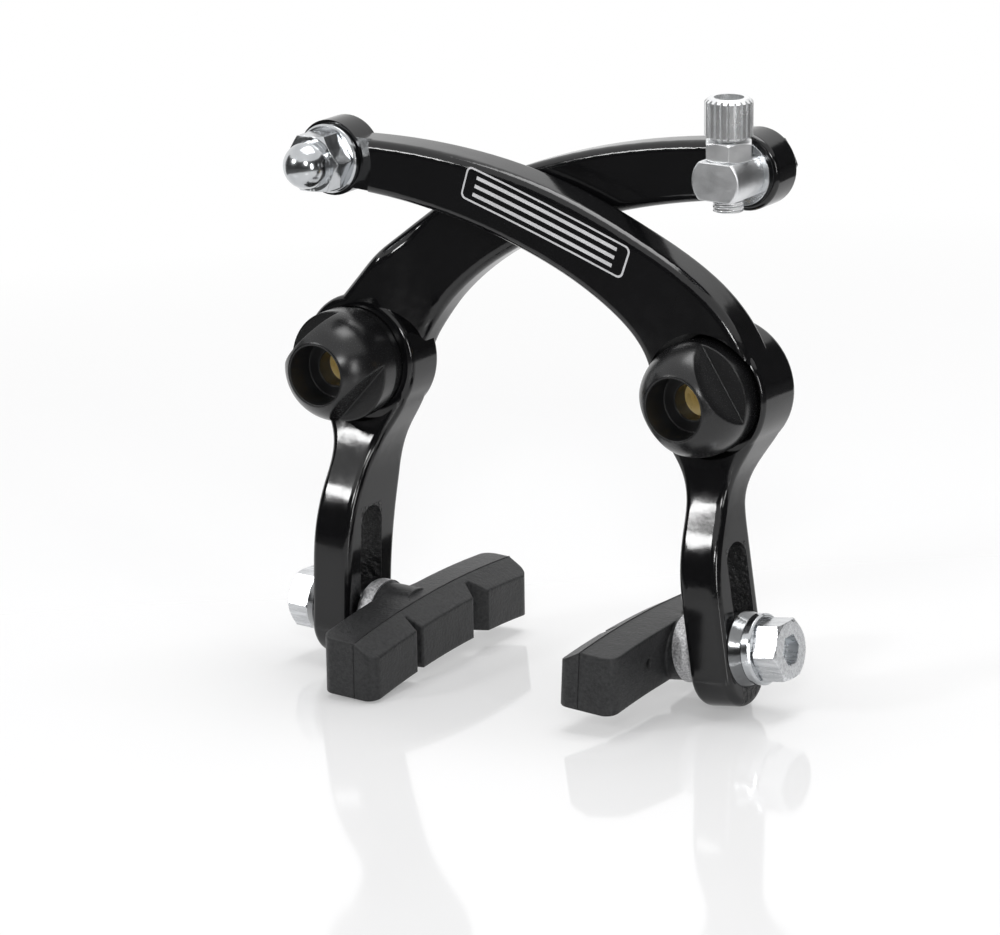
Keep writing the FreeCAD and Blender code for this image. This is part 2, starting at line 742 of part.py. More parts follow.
def pad_nut(seat):
    """Sleeve nut with a hex socket in its end."""
    end = seat + NUT_LENGTH
    floor = end - SOCKET_DEPTH
    nut = chamfered_hexagon(NUT_FLATS, post_point(seat), post_point(end), NUT_TURN)
    bore = rod(POST_R + THREAD_CLEAR, post_point(-FAR), post_point(floor))
    socket = hexagon(SOCKET_FLATS, post_point(floor), post_point(FAR), NUT_TURN)
    return nut.cut([bore, socket])


# Cable anchor, about the front arm's eye
def anchor_point(y):
    return Vector(-FRONT_EYE_IN, y, FRONT_EYE_UP)


SPOT_FLOOR = FRONT_ARM_FACE + SPOT_FACE_DEPTH
ANCHOR_WASHER_FACE = SPOT_FLOOR - ANCHOR_WASHER_THICK
ACORN_FACE = ANCHOR_WASHER_FACE - ACORN_HEX
ACORN_DOME_AT = ACORN_FACE - ACORN_NECK
ANCHOR_END = ACORN_FACE


def anchor_bolt():
    """Hexagon bolt from behind the eye, which pinches the wire under its washer."""
    head_back = anchor_point(FRONT_ARM_BACK + ANCHOR_HEAD)
    head = chamfered_hexagon(ANCHOR_HEAD_FLATS, anchor_point(FRONT_ARM_BACK), head_back, NUT_TURN)
    shank = rod(ANCHOR_R, anchor_point(FRONT_ARM_BACK), anchor_point(ANCHOR_END))
    return head.fuse(shank).removeSplitter()


def anchor_washer():
    washer = rod(ANCHOR_WASHER_R, anchor_point(SPOT_FLOOR), anchor_point(ANCHOR_WASHER_FACE))
    bore = rod(ANCHOR_R + THREAD_CLEAR, anchor_point(FAR), anchor_point(-FAR))
    return bevelled(washer, WASHER_EDGE).cut(bore)


def anchor_nut():
    """Domed cap nut."""
    seat = anchor_point(ANCHOR_WASHER_FACE)
    hexed = chamfered_hexagon(ACORN_FLATS, seat, anchor_point(ACORN_FACE))
    neck = rod(ACORN_DOME_R, anchor_point(ACORN_FACE), anchor_point(ACORN_DOME_AT))
    dome = Part.makeSphere(ACORN_DOME_R, anchor_point(ACORN_DOME_AT))
    nut = hexed.fuse([neck, dome]).removeSplitter()
    return nut.cut(rod(ANCHOR_R + THREAD_CLEAR, anchor_point(0), anchor_point(ANCHOR_END)))


# Cable stop, about the rear arm's eye
STOP_BACK = REAR_ARM_FACE - STOP_WASHER_THICK
STOP_FACE = STOP_BACK - STOP_LENGTH
BARREL_Y = STOP_BACK - LOCK_NUT_FLATS / 2 - LOCK_NUT_CLEAR
STOP_NUT_END = REAR_ARM_BACK + STOP_NUT
STOP_TOP = REAR_EYE_UP + STOP_FLATS / 2
STOP_LOW = REAR_EYE_UP - STOP_FLATS / 2


def stop_point(y):
    return Vector(-REAR_EYE_IN, y, REAR_EYE_UP)


def barrel_point(z):
    return Vector(-REAR_EYE_IN, BARREL_Y, z)


def swivelled(shape):
    """Turn a piece of the stop about the eye, to the angle at which the barrel stands."""
    turned = shape.copy()
    turned.rotate(stop_point(0), BACK, -STOP_TURN)
    return turned


def cable_stop():
    """Swivelling post with two flats, drilled across for the barrel."""
    post = rod(STOP_R, stop_point(STOP_BACK), stop_point(STOP_FACE))
    middle = (STOP_BACK + STOP_FACE) / 2
    post = smoothed(post, STOP_EDGE, lambda e: e.Closed and e.BoundBox.Center.y < middle)
    slab = Part.makeBox(
        4 * STOP_R,
        STOP_LENGTH,
        STOP_FLATS,
        Vector(-REAR_EYE_IN - 2 * STOP_R, STOP_FACE, STOP_LOW),
    )
    post = post.common(slab)
    shank = rod(STOP_SHANK_R, stop_point(STOP_BACK), stop_point(STOP_NUT_END))
    post = post.fuse(shank).removeSplitter()
    return post.cut(rod(BARREL_THREAD_R + THREAD_CLEAR, barrel_point(0), barrel_point(FAR)))


def stop_washer():
    washer = rod(STOP_WASHER_R, stop_point(REAR_ARM_FACE), stop_point(STOP_BACK))
    return washer.cut(rod(STOP_SHANK_R + THREAD_CLEAR, stop_point(FAR), stop_point(-FAR)))


def stop_nut():
    nut = chamfered_hexagon(STOP_NUT_FLATS, stop_point(REAR_ARM_BACK), stop_point(STOP_NUT_END))
    return nut.cut(rod(STOP_SHANK_R + THREAD_CLEAR, stop_point(FAR), stop_point(-FAR)))


def lock_nut():
    seat = barrel_point(STOP_TOP)
    nut = chamfered_hexagon(LOCK_NUT_FLATS, seat, seat + UP * LOCK_NUT)
    return nut.cut(rod(BARREL_THREAD_R + THREAD_CLEAR, barrel_point(0), barrel_point(FAR)))


def barrel_outline():
    """The ribbed outline of the barrel's head, seen from above."""
    low = BARREL_R - RIB_DEPTH
    steps = ((0, BARREL_R), (RIB_LAND, BARREL_R), (RIB_FLOOR_START, low), (RIB_FLOOR_END, low))
    corners = []
    for rib in range(BARREL_RIBS):
        for share, radius in steps:
            angle = 2 * math.pi * (rib + share) / BARREL_RIBS
            corners.append(Vector(radius * math.cos(angle), radius * math.sin(angle), 0))
    return Part.Face(Part.makePolygon(corners + corners[:1]))


def barrel_adjuster():
    """Hollow screw with a ribbed head that takes the end of the cable housing."""
    head_low = STOP_TOP + LOCK_NUT + BARREL_GAP
    head_top = head_low + BARREL_HEAD
    ribbed = barrel_outline().extrude(UP * BARREL_HEAD)
    ribbed.translate(barrel_point(head_low))
    outside = BARREL_R + CORNER_SPARE
    waist_low = barrel_point(head_low + BARREL_CHAMFER)
    waist_top = barrel_point(head_top - BARREL_CHAMFER)
    end_r = BARREL_R - BARREL_CHAMFER
    foot = Part.makeCone(end_r, outside, BARREL_CHAMFER, barrel_point(head_low), UP)
    rim = Part.makeCone(outside, end_r, BARREL_CHAMFER, waist_top, UP)
    head = ribbed.common(rod(outside, waist_low, waist_top).fuse([foot, rim]))
    screw = rod(BARREL_THREAD_R, barrel_point(STOP_LOW - BARREL_END), barrel_point(head_low))
    solid = head.fuse(screw).removeSplitter()
    housing = rod(HOUSING_R, barrel_point(head_top - HOUSING_DEPTH), barrel_point(FAR))
    wire = rod(BARREL_WIRE_R, barrel_point(0), barrel_point(FAR))
    return solid.cut([housing, wire])


def main():
    os.makedirs("parts", exist_ok=True)
    left_pad = {
        "left_brake_pad": brake_pad(LEFT_PAD_TILT, LEFT_PAD_CAMBER),
        "left_pad_post": pad_post(CONE_END_X),
        "left_dome_washer": dome_washer(),
        "left_cone_washer": cone_washer(),
        "left_pad_nut": pad_nut(CONE_END_X),
    }
    right_pad = {
        "right_brake_pad": brake_pad(RIGHT_PAD_TILT, RIGHT_PAD_CAMBER),
        "right_pad_post": pad_post(WASHER_END_X),
        "right_dome_washer": dome_washer(),
        "right_cone_washer": cone_washer(),
        "right_flat_washer": flat_washer(),
        "right_pad_nut": pad_nut(WASHER_END_X),
    }
    pieces = {
        "front_arm": on_right(front_arm()),
        "anchor_bolt": on_right(anchor_bolt()),
        "anchor_washer": on_right(anchor_washer()),
        "anchor_nut": on_right(anchor_nut()),
        "rear_arm": on_left(rear_arm()),
        "cable_stop": on_left(swivelled(cable_stop())),
        "stop_washer": on_left(stop_washer()),
        "stop_nut": on_left(swivelled(stop_nut())),
        "barrel_lock_nut": on_left(swivelled(lock_nut())),
        "barrel_adjuster": on_left(swivelled(barrel_adjuster())),
        "left_pivot_bush": on_left(pivot_bush()),
        "right_pivot_bush": on_right(pivot_bush()),
        "left_spring_cap": on_left(spring_cap(LEFT_FLAT_TURN)),
        "right_spring_cap": on_right(spring_cap(RIGHT_FLAT_TURN)),
        "left_return_spring": on_left(return_spring()),
        "right_return_spring": on_right(return_spring()),
    }
    for name, shape in left_pad.items():
        pieces[name] = on_left(leaned(shape))
    for name, shape in right_pad.items():
        shape.translate(UP * RIGHT_PAD_RAISE)
        pieces[name] = on_right(leaned(shape))
    for name, shape in pieces.items():
        if not shape.isValid():
            print("not valid:", name)
        shape.exportStep("parts/" + name + ".step")
        print(name, len(shape.Solids), round(shape.Volume, 2))


main()
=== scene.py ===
import math

import bpy
from mathutils import Matrix, Vector


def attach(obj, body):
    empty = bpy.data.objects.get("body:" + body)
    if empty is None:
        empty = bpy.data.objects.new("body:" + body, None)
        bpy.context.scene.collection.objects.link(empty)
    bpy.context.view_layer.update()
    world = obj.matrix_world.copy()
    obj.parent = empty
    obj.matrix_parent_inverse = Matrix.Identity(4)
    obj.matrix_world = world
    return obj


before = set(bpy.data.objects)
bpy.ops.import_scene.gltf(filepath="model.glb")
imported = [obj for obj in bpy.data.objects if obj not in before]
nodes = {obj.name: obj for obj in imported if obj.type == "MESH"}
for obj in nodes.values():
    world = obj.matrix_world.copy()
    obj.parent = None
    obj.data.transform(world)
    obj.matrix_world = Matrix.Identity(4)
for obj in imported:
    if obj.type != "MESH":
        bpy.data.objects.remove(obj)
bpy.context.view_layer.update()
scene = bpy.context.scene

# Places on the brake that the materials follow, in metres
PIVOT_X = 0.0375
LEG_MIDDLE = -0.0152
SLOT_HALF = 0.00335
SLOT_TOP = -0.0262
COUNTERBORE_R = 0.00565
BUSH_BORE_END = -0.005
BUSH_FLANGE_START = -0.002
BARREL_THREAD_TOP = 0.0447

# Printed field on the front arm: a bent centre line, half its height, its line and its bars
ARM_FACE = -0.016
PRINT_START = Vector((-0.0092, 0.0354))
PRINT_BEND = Vector((0.0064, 0.0298))
PRINT_END = Vector((0.0236, 0.0226))
PRINT_LENGTH = 0.0352
PRINT_HALF = 0.0031
PRINT_PROUD = 0.00004
PRINT_LINE = 0.00035
PRINT_CORNER = 0.0011
PRINT_INNER_CORNER = 0.00085
CORNER_STEPS = 6
SIDE_STEPS = 4
BAR_RISES = (-0.0016, 0.0, 0.0016)
BAR_HALF = 0.00033
BAR_START = 0.07
BAR_END = 0.93
BAR_STEPS = 24

# Pads, drawn on an upright leg and then leaned, and the moulding line round each
LEG_LEAN = math.radians(5.0)
LEFT_PAD_TILT = math.radians(3.2)
RIGHT_PAD_CAMBER = math.radians(11.0)
RIGHT_PAD_RAISE = 0.0008
RIM_R = 0.205
PAD_HEIGHT = 0.0104
PAD_LENGTH = 0.0514
PAD_MIDDLE = LEG_MIDDLE + 0.0023
PAD_BACK_X = -0.00915
POST_DOWN = -0.046
SEAM_X = -0.01775
SEAM_R = 0.00009
SEAM_SIDES = 6
SEAM_END_STEPS = 8
SEAM_TOP_STEPS = 24

# Edges of the model's own meshes
WELD_GAP = 0.000002
CREASE = math.radians(24.0)
BEVEL_SAMPLES = 6

# Camera, fitted to the photograph
AZIMUTH = math.radians(33.782)
ELEVATION = math.radians(14.32)
ROLL = math.radians(-3.351)
DISTANCE = 0.9
TARGET = Vector((-0.015856, 0.0, -0.021349))
FOCAL_PIXELS = 4935.89
PICTURE_PIXELS = 1000.0
SENSOR = 36.0

# Floor, which turns from a lit surface to plain white with distance
FLOOR_Z = -0.0562
FLOOR_REACH = 9.0
NEAR_WHITE = 0.3
WHITE_START = 0.12
WHITE_END = 0.4
MATT_START = 0.03
MATT_END = 0.09

# Dark side of the studio: a ring on the floor and a wall, over these angles
ROOM_NEAR = 0.24
ROOM_FAR = 1.5
ROOM_TOP = 0.9
ROOM_LIFT = 0.0005
ROOM_START = -178.0
ROOM_END = 82.0
ROOM_STEPS = 52

# Lamps: direction from the brake, distance, width, height, watts
LAMPS = {
    "top_light": ((0.05, 0.15, 1.0), 0.75, 0.5, 0.5, 4.2),
    "key_light": ((-0.54, -0.72, 0.44), 0.8, 0.16, 0.08, 1.1),
    "side_light": ((0.86, -0.5, 0.12), 0.8, 0.07, 0.3, 1.0),
    "fill_light": ((0.50, -0.80, 0.40), 1.1, 0.2, 0.16, 2.4),
}
WORLD_LIGHT = 0.35
WORLD_WHITE = 1.0


class Tree:
    """A new material with its shader, object coordinates and a few shorthand nodes."""

    def __init__(self, name):
        self.material = bpy.data.materials.new(name)
        self.material.use_nodes = True
        self.nodes = self.material.node_tree.nodes
        self.links = self.material.node_tree.links
        self.shader = self.nodes["Principled BSDF"]
        self.coords = self.nodes.new("ShaderNodeTexCoord").outputs["Object"]

    def feed(self, value, socket):
        """Give a socket a number or a colour, or link another node's output to it."""
        if isinstance(value, tuple):
            socket.default_value = value + (1.0,)
        elif isinstance(value, (int, float)):
            socket.default_value = value
        else:
            self.links.new(value, socket)

    def set(self, **values):
        """Values for the shader's sockets, whose names have underscores for spaces."""
        for name, value in values.items():
            self.feed(value, self.shader.inputs[name.replace("_", " ")])

    def place(self):
        """The x, y and z of a point on the object."""
        node = self.nodes.new("ShaderNodeSeparateXYZ")
        self.feed(self.coords, node.inputs["Vector"])
        return node.outputs

    def noise(self, scale, detail=3.0, rough=0.5, stretch=None):
        node = self.nodes.new("ShaderNodeTexNoise")
        node.inputs["Scale"].default_value = scale
        node.inputs["Detail"].default_value = detail
        node.inputs["Roughness"].default_value = rough
        place = self.coords
        if stretch:
            mapping = self.nodes.new("ShaderNodeMapping")
            mapping.inputs["Scale"].default_value = stretch
            self.feed(place, mapping.inputs["Vector"])
            place = mapping.outputs["Vector"]
        self.feed(place, node.inputs["Vector"])
        return node.outputs["Fac"]

    def math(self, kind, *values):
        node = self.nodes.new("ShaderNodeMath")
        node.operation = kind
        for value, socket in zip(values, node.inputs):
            self.feed(value, socket)
        return node.outputs["Value"]

    def add(self, first, second):
        return self.math("ADD", first, second)

    def times(self, first, second):
        return self.math("MULTIPLY", first, second)

    def length(self, first, second):
        return self.math("SQRT", self.add(self.times(first, first), self.times(second, second)))

    def waves(self, value, rate):
        return self.math("SINE", self.times(value, rate))

    def from_pivot(self):
        """Distance from the nearer pivot's axis."""
        x, y, z = self.place()
        return self.length(self.math("SUBTRACT", self.math("ABSOLUTE", x), PIVOT_X), z)

    def spread(self, value, low, high, start=0.3, end=0.7):
        """The range from start to end of a value, brought to the range from low to high."""
        node = self.nodes.new("ShaderNodeMapRange")
        self.feed(value, node.inputs["Value"])
        node.inputs["From Min"].default_value = start
        node.inputs["From Max"].default_value = end
        node.inputs["To Min"].default_value = low
        node.inputs["To Max"].default_value = high
        return node.outputs["Result"]

    def shade(self, value, dark, light):
        """A colour between two others."""
        node = self.nodes.new("ShaderNodeMix")
        node.data_type = "RGBA"
        self.feed(value, node.inputs["Factor"])
        self.feed(dark, node.inputs["A"])
        self.feed(light, node.inputs["B"])
        return node.outputs["Result"]

    def bump(self, height, depth, edge=0.0):
        """Relief from a height, over edges that catch the light as if rounded."""
        node = self.nodes.new("ShaderNodeBump")
        node.inputs["Distance"].default_value = depth
        self.feed(height, node.inputs["Height"])
        if edge:
            rounded = self.nodes.new("ShaderNodeBevel")
            rounded.samples = BEVEL_SAMPLES
            rounded.inputs["Radius"].default_value = edge
            self.feed(rounded.outputs["Normal"], node.inputs["Normal"])
        self.feed(node.outputs["Normal"], self.shader.inputs["Normal"])

    def give_way(self, share, kind):
        """Let the shader give way to one of another kind by a share from 0 to 1."""
        mix = self.nodes.new("ShaderNodeMixShader")
        self.feed(share, mix.inputs["Fac"])
        self.feed(self.shader.outputs["BSDF"], mix.inputs[1])
        self.feed(self.nodes.new(kind).outputs[0], mix.inputs[2])
        self.feed(mix.outputs["Shader"], self.nodes["Material Output"].inputs["Surface"])


def arm_paint():
    """Gloss black paint, crinkled and dull inside the pad slots."""
    tree = Tree("arm_paint")
    x, y, z = tree.place()
    off = tree.math("ABSOLUTE", tree.math("SUBTRACT", y, LEG_MIDDLE))
    inside = tree.math("LESS_THAN", off, SLOT_HALF)
    slot = tree.times(inside, tree.math("LESS_THAN", z, SLOT_TOP))
    crinkle = tree.noise(900.0, detail=4.0, rough=0.6)
    peel = tree.noise(420.0, detail=2.0)
    tree.bump(tree.add(tree.times(peel, 0.012), tree.times(slot, crinkle)), 0.0011)
    tree.set(
        Base_Color=tree.shade(tree.noise(60.0), (0.0030, 0.0030, 0.0034), (0.0052, 0.0052, 0.0058)),
        Roughness=tree.add(tree.spread(peel, 0.10, 0.15), tree.times(slot, 0.2)),
        Specular_IOR_Level=0.5,
    )
    return tree.material


def cap_paint():
    """Satin black with faint turning rings round each pivot, duller inside the counterbore."""
    tree = Tree("cap_paint")
    radius = tree.from_pivot()
    bore = tree.math("LESS_THAN", radius, COUNTERBORE_R)
    grain = tree.noise(5200.0, detail=2.0)
    height = tree.add(tree.times(tree.waves(radius, 26000.0), 0.05), tree.times(grain, 0.3))
    tree.bump(height, 0.00003, edge=0.0005)
    tree.set(
        Base_Color=tree.shade(tree.noise(90.0), (0.0055, 0.0055, 0.006), (0.0085, 0.0085, 0.009)),
        Roughness=tree.add(tree.spread(grain, 0.22, 0.28), tree.times(bore, 0.18)),
        Specular_IOR_Level=0.5,
    )
    return tree.material


def metal(
    name, dark, light, smooth, dull, grain, depth,
    waves=0.0, edge=0.0, polish=1.0, patch=180.0, stretch=None,
):
    """Metal with unevenly polished patches, perhaps drawn out one way, and faint waves."""
    tree = Tree(name)
    height = tree.times(tree.noise(grain), depth)
    patches = tree.noise(patch, detail=4.0, stretch=stretch)
    if waves:
        height = tree.add(height, tree.times(tree.noise(420.0, detail=2.0), waves))
    tree.bump(height, 1.0, edge)
    tree.set(
        Base_Color=tree.shade(tree.spread(patches, 0.0, 1.0), dark, light),
        Metallic=polish,
        Roughness=tree.spread(patches, smooth, dull),
    )
    return tree.material


def brass():
    """Turned brass, bright on the flange; along the bore a paler, less metallic gold is painted
    light against the shade in the hole.
    """
    tree = Tree("brass")
    x, y, z = tree.place()
    rings = tree.add(tree.waves(y, 21000.0), tree.waves(tree.from_pivot(), 9000.0))
    tree.bump(rings, 0.000006, edge=0.0003)
    flange = tree.spread(y, 0.0, 1.0, BUSH_BORE_END, BUSH_FLANGE_START)
    patches = tree.noise(240.0)
    # Paler, less metallic colour along the bore: painted light that makes up for the shade inside
    # the hole
    bore_painted_light = tree.shade(patches, (0.90, 0.78, 0.40), (0.98, 0.88, 0.50))
    bright = tree.shade(patches, (0.66, 0.45, 0.15), (0.80, 0.58, 0.22))
    tree.set(
        Base_Color=tree.shade(flange, bore_painted_light, bright),
        Metallic=tree.spread(flange, 0.1, 1.0, 0.0, 1.0),
        Roughness=tree.spread(patches, 0.24, 0.34),
    )
    return tree.material


def barrel_metal():
    """Bright plated barrel with a fine thread below its head."""
    tree = Tree("barrel_metal")
    x, y, z = tree.place()
    below = tree.math("LESS_THAN", z, BARREL_THREAD_TOP)
    tree.bump(tree.times(tree.waves(z, 8000.0), below), 0.00022)
    patches = tree.noise(200.0)
    tree.set(
        Base_Color=tree.shade(patches, (0.86, 0.87, 0.88), (0.97, 0.975, 0.98)),
        Metallic=0.9,
        Roughness=tree.spread(patches, 0.2, 0.3),
    )
    return tree.material


def rubber():
    """Dark grey moulded rubber with a fine mottled grain."""
    tree = Tree("rubber")
    grain = tree.noise(1700.0, detail=4.0, rough=0.65)
    mottle = tree.spread(grain, 0.0, 1.0, 0.36, 0.64)
    tree.bump(tree.add(tree.times(grain, 0.7), tree.noise(260.0)), 0.00016, edge=0.0008)
    tree.set(
        Base_Color=tree.shade(mottle, (0.0135, 0.0138, 0.0145), (0.030, 0.0305, 0.0315)),
        Roughness=tree.spread(grain, 0.34, 0.48),
        Specular_IOR_Level=0.32,
    )
    return tree.material


def seen_directly(nodes, links):
    """1 for camera, mirror and glass rays, 0 for the light that falls on things."""
    path = nodes.new("ShaderNodeLightPath")
    total = path.outputs["Is Camera Ray"]
    for name in ("Is Glossy Ray", "Is Transmission Ray"):
        node = nodes.new("ShaderNodeMath")
        node.operation = "MAXIMUM"
        links.new(total, node.inputs[0])
        links.new(path.outputs[name], node.inputs[1])
        total = node.outputs["Value"]
    return total


def plain_floor():
    """White surface, glossy in front and matt behind, that runs out into a white background."""
    tree = Tree("floor_white")
    x, y, z = tree.place()
    grain = tree.noise(14.0, detail=2.0)
    behind = tree.math(
        "SUBTRACT", tree.times(y, math.cos(AZIMUTH)), tree.times(x, math.sin(AZIMUTH)),
    )
    matt = tree.spread(behind, 0.0, 0.5, MATT_START, MATT_END)
    tree.set(
        Base_Color=tree.shade(grain, (0.90, 0.90, 0.905), (0.93, 0.93, 0.935)),
        Roughness=tree.add(tree.spread(grain, 0.06, 0.09), matt),
        Specular_IOR_Level=0.5,
    )
    white = tree.spread(tree.length(x, y), NEAR_WHITE, 1.0, WHITE_START, WHITE_END)
    tree.give_way(tree.times(white, seen_directly(tree.nodes, tree.links)), "ShaderNodeEmission")
    return tree.material


def dark_room():
    """The unlit side of the studio, behind the camera; clear from outside and below."""
    tree = Tree("dark_room")
    tree.set(
        Base_Color=tree.shade(tree.noise(3.0), (0.09, 0.09, 0.09), (0.11, 0.11, 0.11)),
        Roughness=0.9,
        Specular_IOR_Level=0.0,
    )
    outside = tree.nodes.new("ShaderNodeNewGeometry").outputs["Backfacing"]
    tree.give_way(outside, "ShaderNodeBsdfTransparent")
    return tree.material


# Finishes
PAINT = arm_paint()
CAP = cap_paint()
BRASS = brass()
BARREL = barrel_metal()
RUBBER = rubber()
ZINC = metal(
    "zinc", dark=(0.46, 0.475, 0.49), light=(0.64, 0.655, 0.67), smooth=0.13, dull=0.22,
    grain=2600.0, depth=0.000006, waves=0.00006, edge=0.00018,
)
DRAWN = metal(
    "drawn_zinc", dark=(0.50, 0.51, 0.525), light=(0.80, 0.815, 0.83), smooth=0.22, dull=0.34,
    grain=2600.0, depth=0.000006, waves=0.00005, edge=0.0002,
    patch=1400.0, stretch=(0.12, 1.0, 1.0),
)
SATIN = metal(
    "satin_zinc", dark=(0.70, 0.71, 0.72), light=(0.84, 0.85, 0.86), smooth=0.32, dull=0.44,
    grain=2600.0, depth=0.00001, waves=0.00008, edge=0.00025,
)
BRIGHT = metal(
    "bright_zinc", dark=(0.80, 0.81, 0.82), light=(0.93, 0.935, 0.94), smooth=0.25, dull=0.36,
    grain=2600.0, depth=0.000008, waves=0.00006, edge=0.00025, polish=0.85,
)
BLASTED = metal(
    "blasted_metal", dark=(0.30, 0.30, 0.31), light=(0.78, 0.78, 0.79), smooth=0.36, dull=0.5,
    grain=5200.0, depth=0.00012, patch=2600.0,
)
DARK = metal(
    "dark_chrome", dark=(0.16, 0.165, 0.17), light=(0.25, 0.255, 0.26), smooth=0.1, dull=0.2,
    grain=2600.0, depth=0.000006, waves=0.00004, edge=0.00015,
)
SPRING = metal(
    "spring_steel", dark=(0.30, 0.30, 0.31), light=(0.45, 0.45, 0.46), smooth=0.25, dull=0.38,
    grain=2600.0, depth=0.00003,
)
SILVER_PRINT = metal(
    "silver_print", dark=(0.52, 0.52, 0.53), light=(0.62, 0.62, 0.63), smooth=0.4, dull=0.5,
    grain=3000.0, depth=0.00001, polish=0.0,
)

# Finish of each node; the other washers, nuts and bolts are zinc plated
LOOKS = {
    "front_arm": PAINT, "rear_arm": PAINT,
    "left_spring_cap": CAP, "right_spring_cap": CAP,
    "left_pivot_bush": BRASS, "right_pivot_bush": BRASS,
    "left_return_spring": SPRING, "right_return_spring": SPRING,
    "barrel_adjuster": BARREL, "barrel_lock_nut": BRIGHT,
    "cable_stop": SATIN, "stop_nut": DARK,
    "left_pad_nut": DRAWN, "right_pad_nut": DRAWN,
    "left_dome_washer": BLASTED, "right_dome_washer": BLASTED,
    "left_cone_washer": DARK, "right_cone_washer": DARK,
    "left_brake_pad": RUBBER, "right_brake_pad": RUBBER,
}
for name, node in nodes.items():
    node.data.materials.clear()
    node.data.materials.append(LOOKS.get(name, ZINC))
    weld = node.modifiers.new("weld", "WELD")
    weld.merge_threshold = WELD_GAP
    crease = node.modifiers.new("crease", "EDGE_SPLIT")
    crease.split_angle = CREASE
    flat = node.modifiers.new("flat", "WEIGHTED_NORMAL")
    flat.keep_sharp = True
    for face in node.data.polygons:
        face.use_smooth = True


def new_object(name, data):
    thing = bpy.data.objects.new(name, data)
    scene.collection.objects.link(thing)
    return thing


def new_mesh(name, points, faces, material):
    mesh = bpy.data.meshes.new(name)
    mesh.from_pydata(points, [], faces)
    mesh.update()
    mesh.materials.append(material)
    return new_object(name, mesh)


def on_print(run, rise):
    """A point of the printed field: run 0 to 1 along the arm, rise in metres across it."""
    first = PRINT_START.lerp(PRINT_BEND, run)
    second = PRINT_BEND.lerp(PRINT_END, run)
    along = (second - first).normalized()
    spot = first.lerp(second, run) + Vector((-along.y, along.x)) * rise
    return (spot.x, ARM_FACE - PRINT_PROUD, spot.y)


def rounded_field(inset, corner):
    """Outline of the printed field, inset from its edge, with rounded corners."""
    spots = []
    reach = corner / PRINT_LENGTH
    start = inset / PRINT_LENGTH + reach
    top = PRINT_HALF - inset - corner
    centres = [(1 - start, top), (start, top), (start, -top), (1 - start, -top)]
    for number, (run, rise) in enumerate(centres):
        for step in range(CORNER_STEPS + 1):
            angle = math.pi / 2 * (number + step / CORNER_STEPS)
            spots.append((run + reach * math.cos(angle), rise + corner * math.sin(angle)))
    return spots


def with_side_steps(spots):
    """The outline with extra points, so that it follows the bend of the arm."""
    filled = []
    for spot, after in zip(spots, spots[1:] + spots[:1]):
        for step in range(SIDE_STEPS):
            share = step / SIDE_STEPS
            filled.append(tuple(a + (b - a) * share for a, b in zip(spot, after)))
    return filled


def print_frame():
    """The line round the printed field."""
    outer = with_side_steps(rounded_field(0.0, PRINT_CORNER))
    inner = with_side_steps(rounded_field(PRINT_LINE, PRINT_INNER_CORNER))
    count = len(outer)
    faces = []
    for step in range(count):
        after = (step + 1) % count
        faces.append((step, after, count + after, count + step))
    points = [on_print(*spot) for spot in outer + inner]
    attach(new_mesh("print_frame", points, faces, SILVER_PRINT), "front_arm")


def print_bar(number, rise):
    """One bar along the printed field."""
    points = []
    for step in range(BAR_STEPS + 1):
        run = BAR_START + (BAR_END - BAR_START) * step / BAR_STEPS
        points.append(on_print(run, rise - BAR_HALF))
        points.append(on_print(run, rise + BAR_HALF))
    faces = []
    for step in range(BAR_STEPS):
        low = 2 * step
        faces.append((low, low + 2, low + 3, low + 1))
    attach(new_mesh("print_bar_" + str(number), points, faces, SILVER_PRINT), "front_arm")


print_frame()
for number, rise in enumerate(BAR_RISES):
    print_bar(number, rise)


def turned_about(spot, angle, axis):
    return Matrix.Translation(spot) @ Matrix.Rotation(angle, 4, axis) @ Matrix.Translation(-spot)


def pad_place(side, tilt, camber, lift):
    """From the upright leg, where a pad is drawn, to its place on the brake."""
    tip = turned_about(Vector((0, LEG_MIDDLE, POST_DOWN)), tilt, "X")
    roll = turned_about(Vector((PAD_BACK_X, LEG_MIDDLE, POST_DOWN)), camber, "Y")
    lean = Matrix.Rotation(-LEG_LEAN, 4, "Y") @ Matrix.Translation((0, 0, lift))
    place = Matrix.Translation((PIVOT_X, 0, 0)) @ lean @ roll @ tip
    return Matrix.Diagonal((side, 1, 1, 1)) @ place


def seam_spot(radius, offset):
    """A point on the pad's middle line, at a radius of the rim and an offset along the pad."""
    rise = math.sqrt(radius ** 2 - offset ** 2) - RIM_R
    return Vector((SEAM_X, PAD_MIDDLE + offset, POST_DOWN + rise))


def seam_path():
    """The mould's parting line: up the front end, along the arched top, down the back end."""
    half = PAD_LENGTH / 2
    bottom = RIM_R - PAD_HEIGHT / 2
    radii = [bottom + PAD_HEIGHT * step / SEAM_END_STEPS for step in range(SEAM_END_STEPS + 1)]
    front = [seam_spot(radius, -half) for radius in radii]
    back = [seam_spot(radius, half) for radius in reversed(radii)]
    top = []
    for step in range(1, SEAM_TOP_STEPS):
        offset = -half + PAD_LENGTH * step / SEAM_TOP_STEPS
        top.append(seam_spot(RIM_R + PAD_HEIGHT / 2, offset))
    return front + top + back


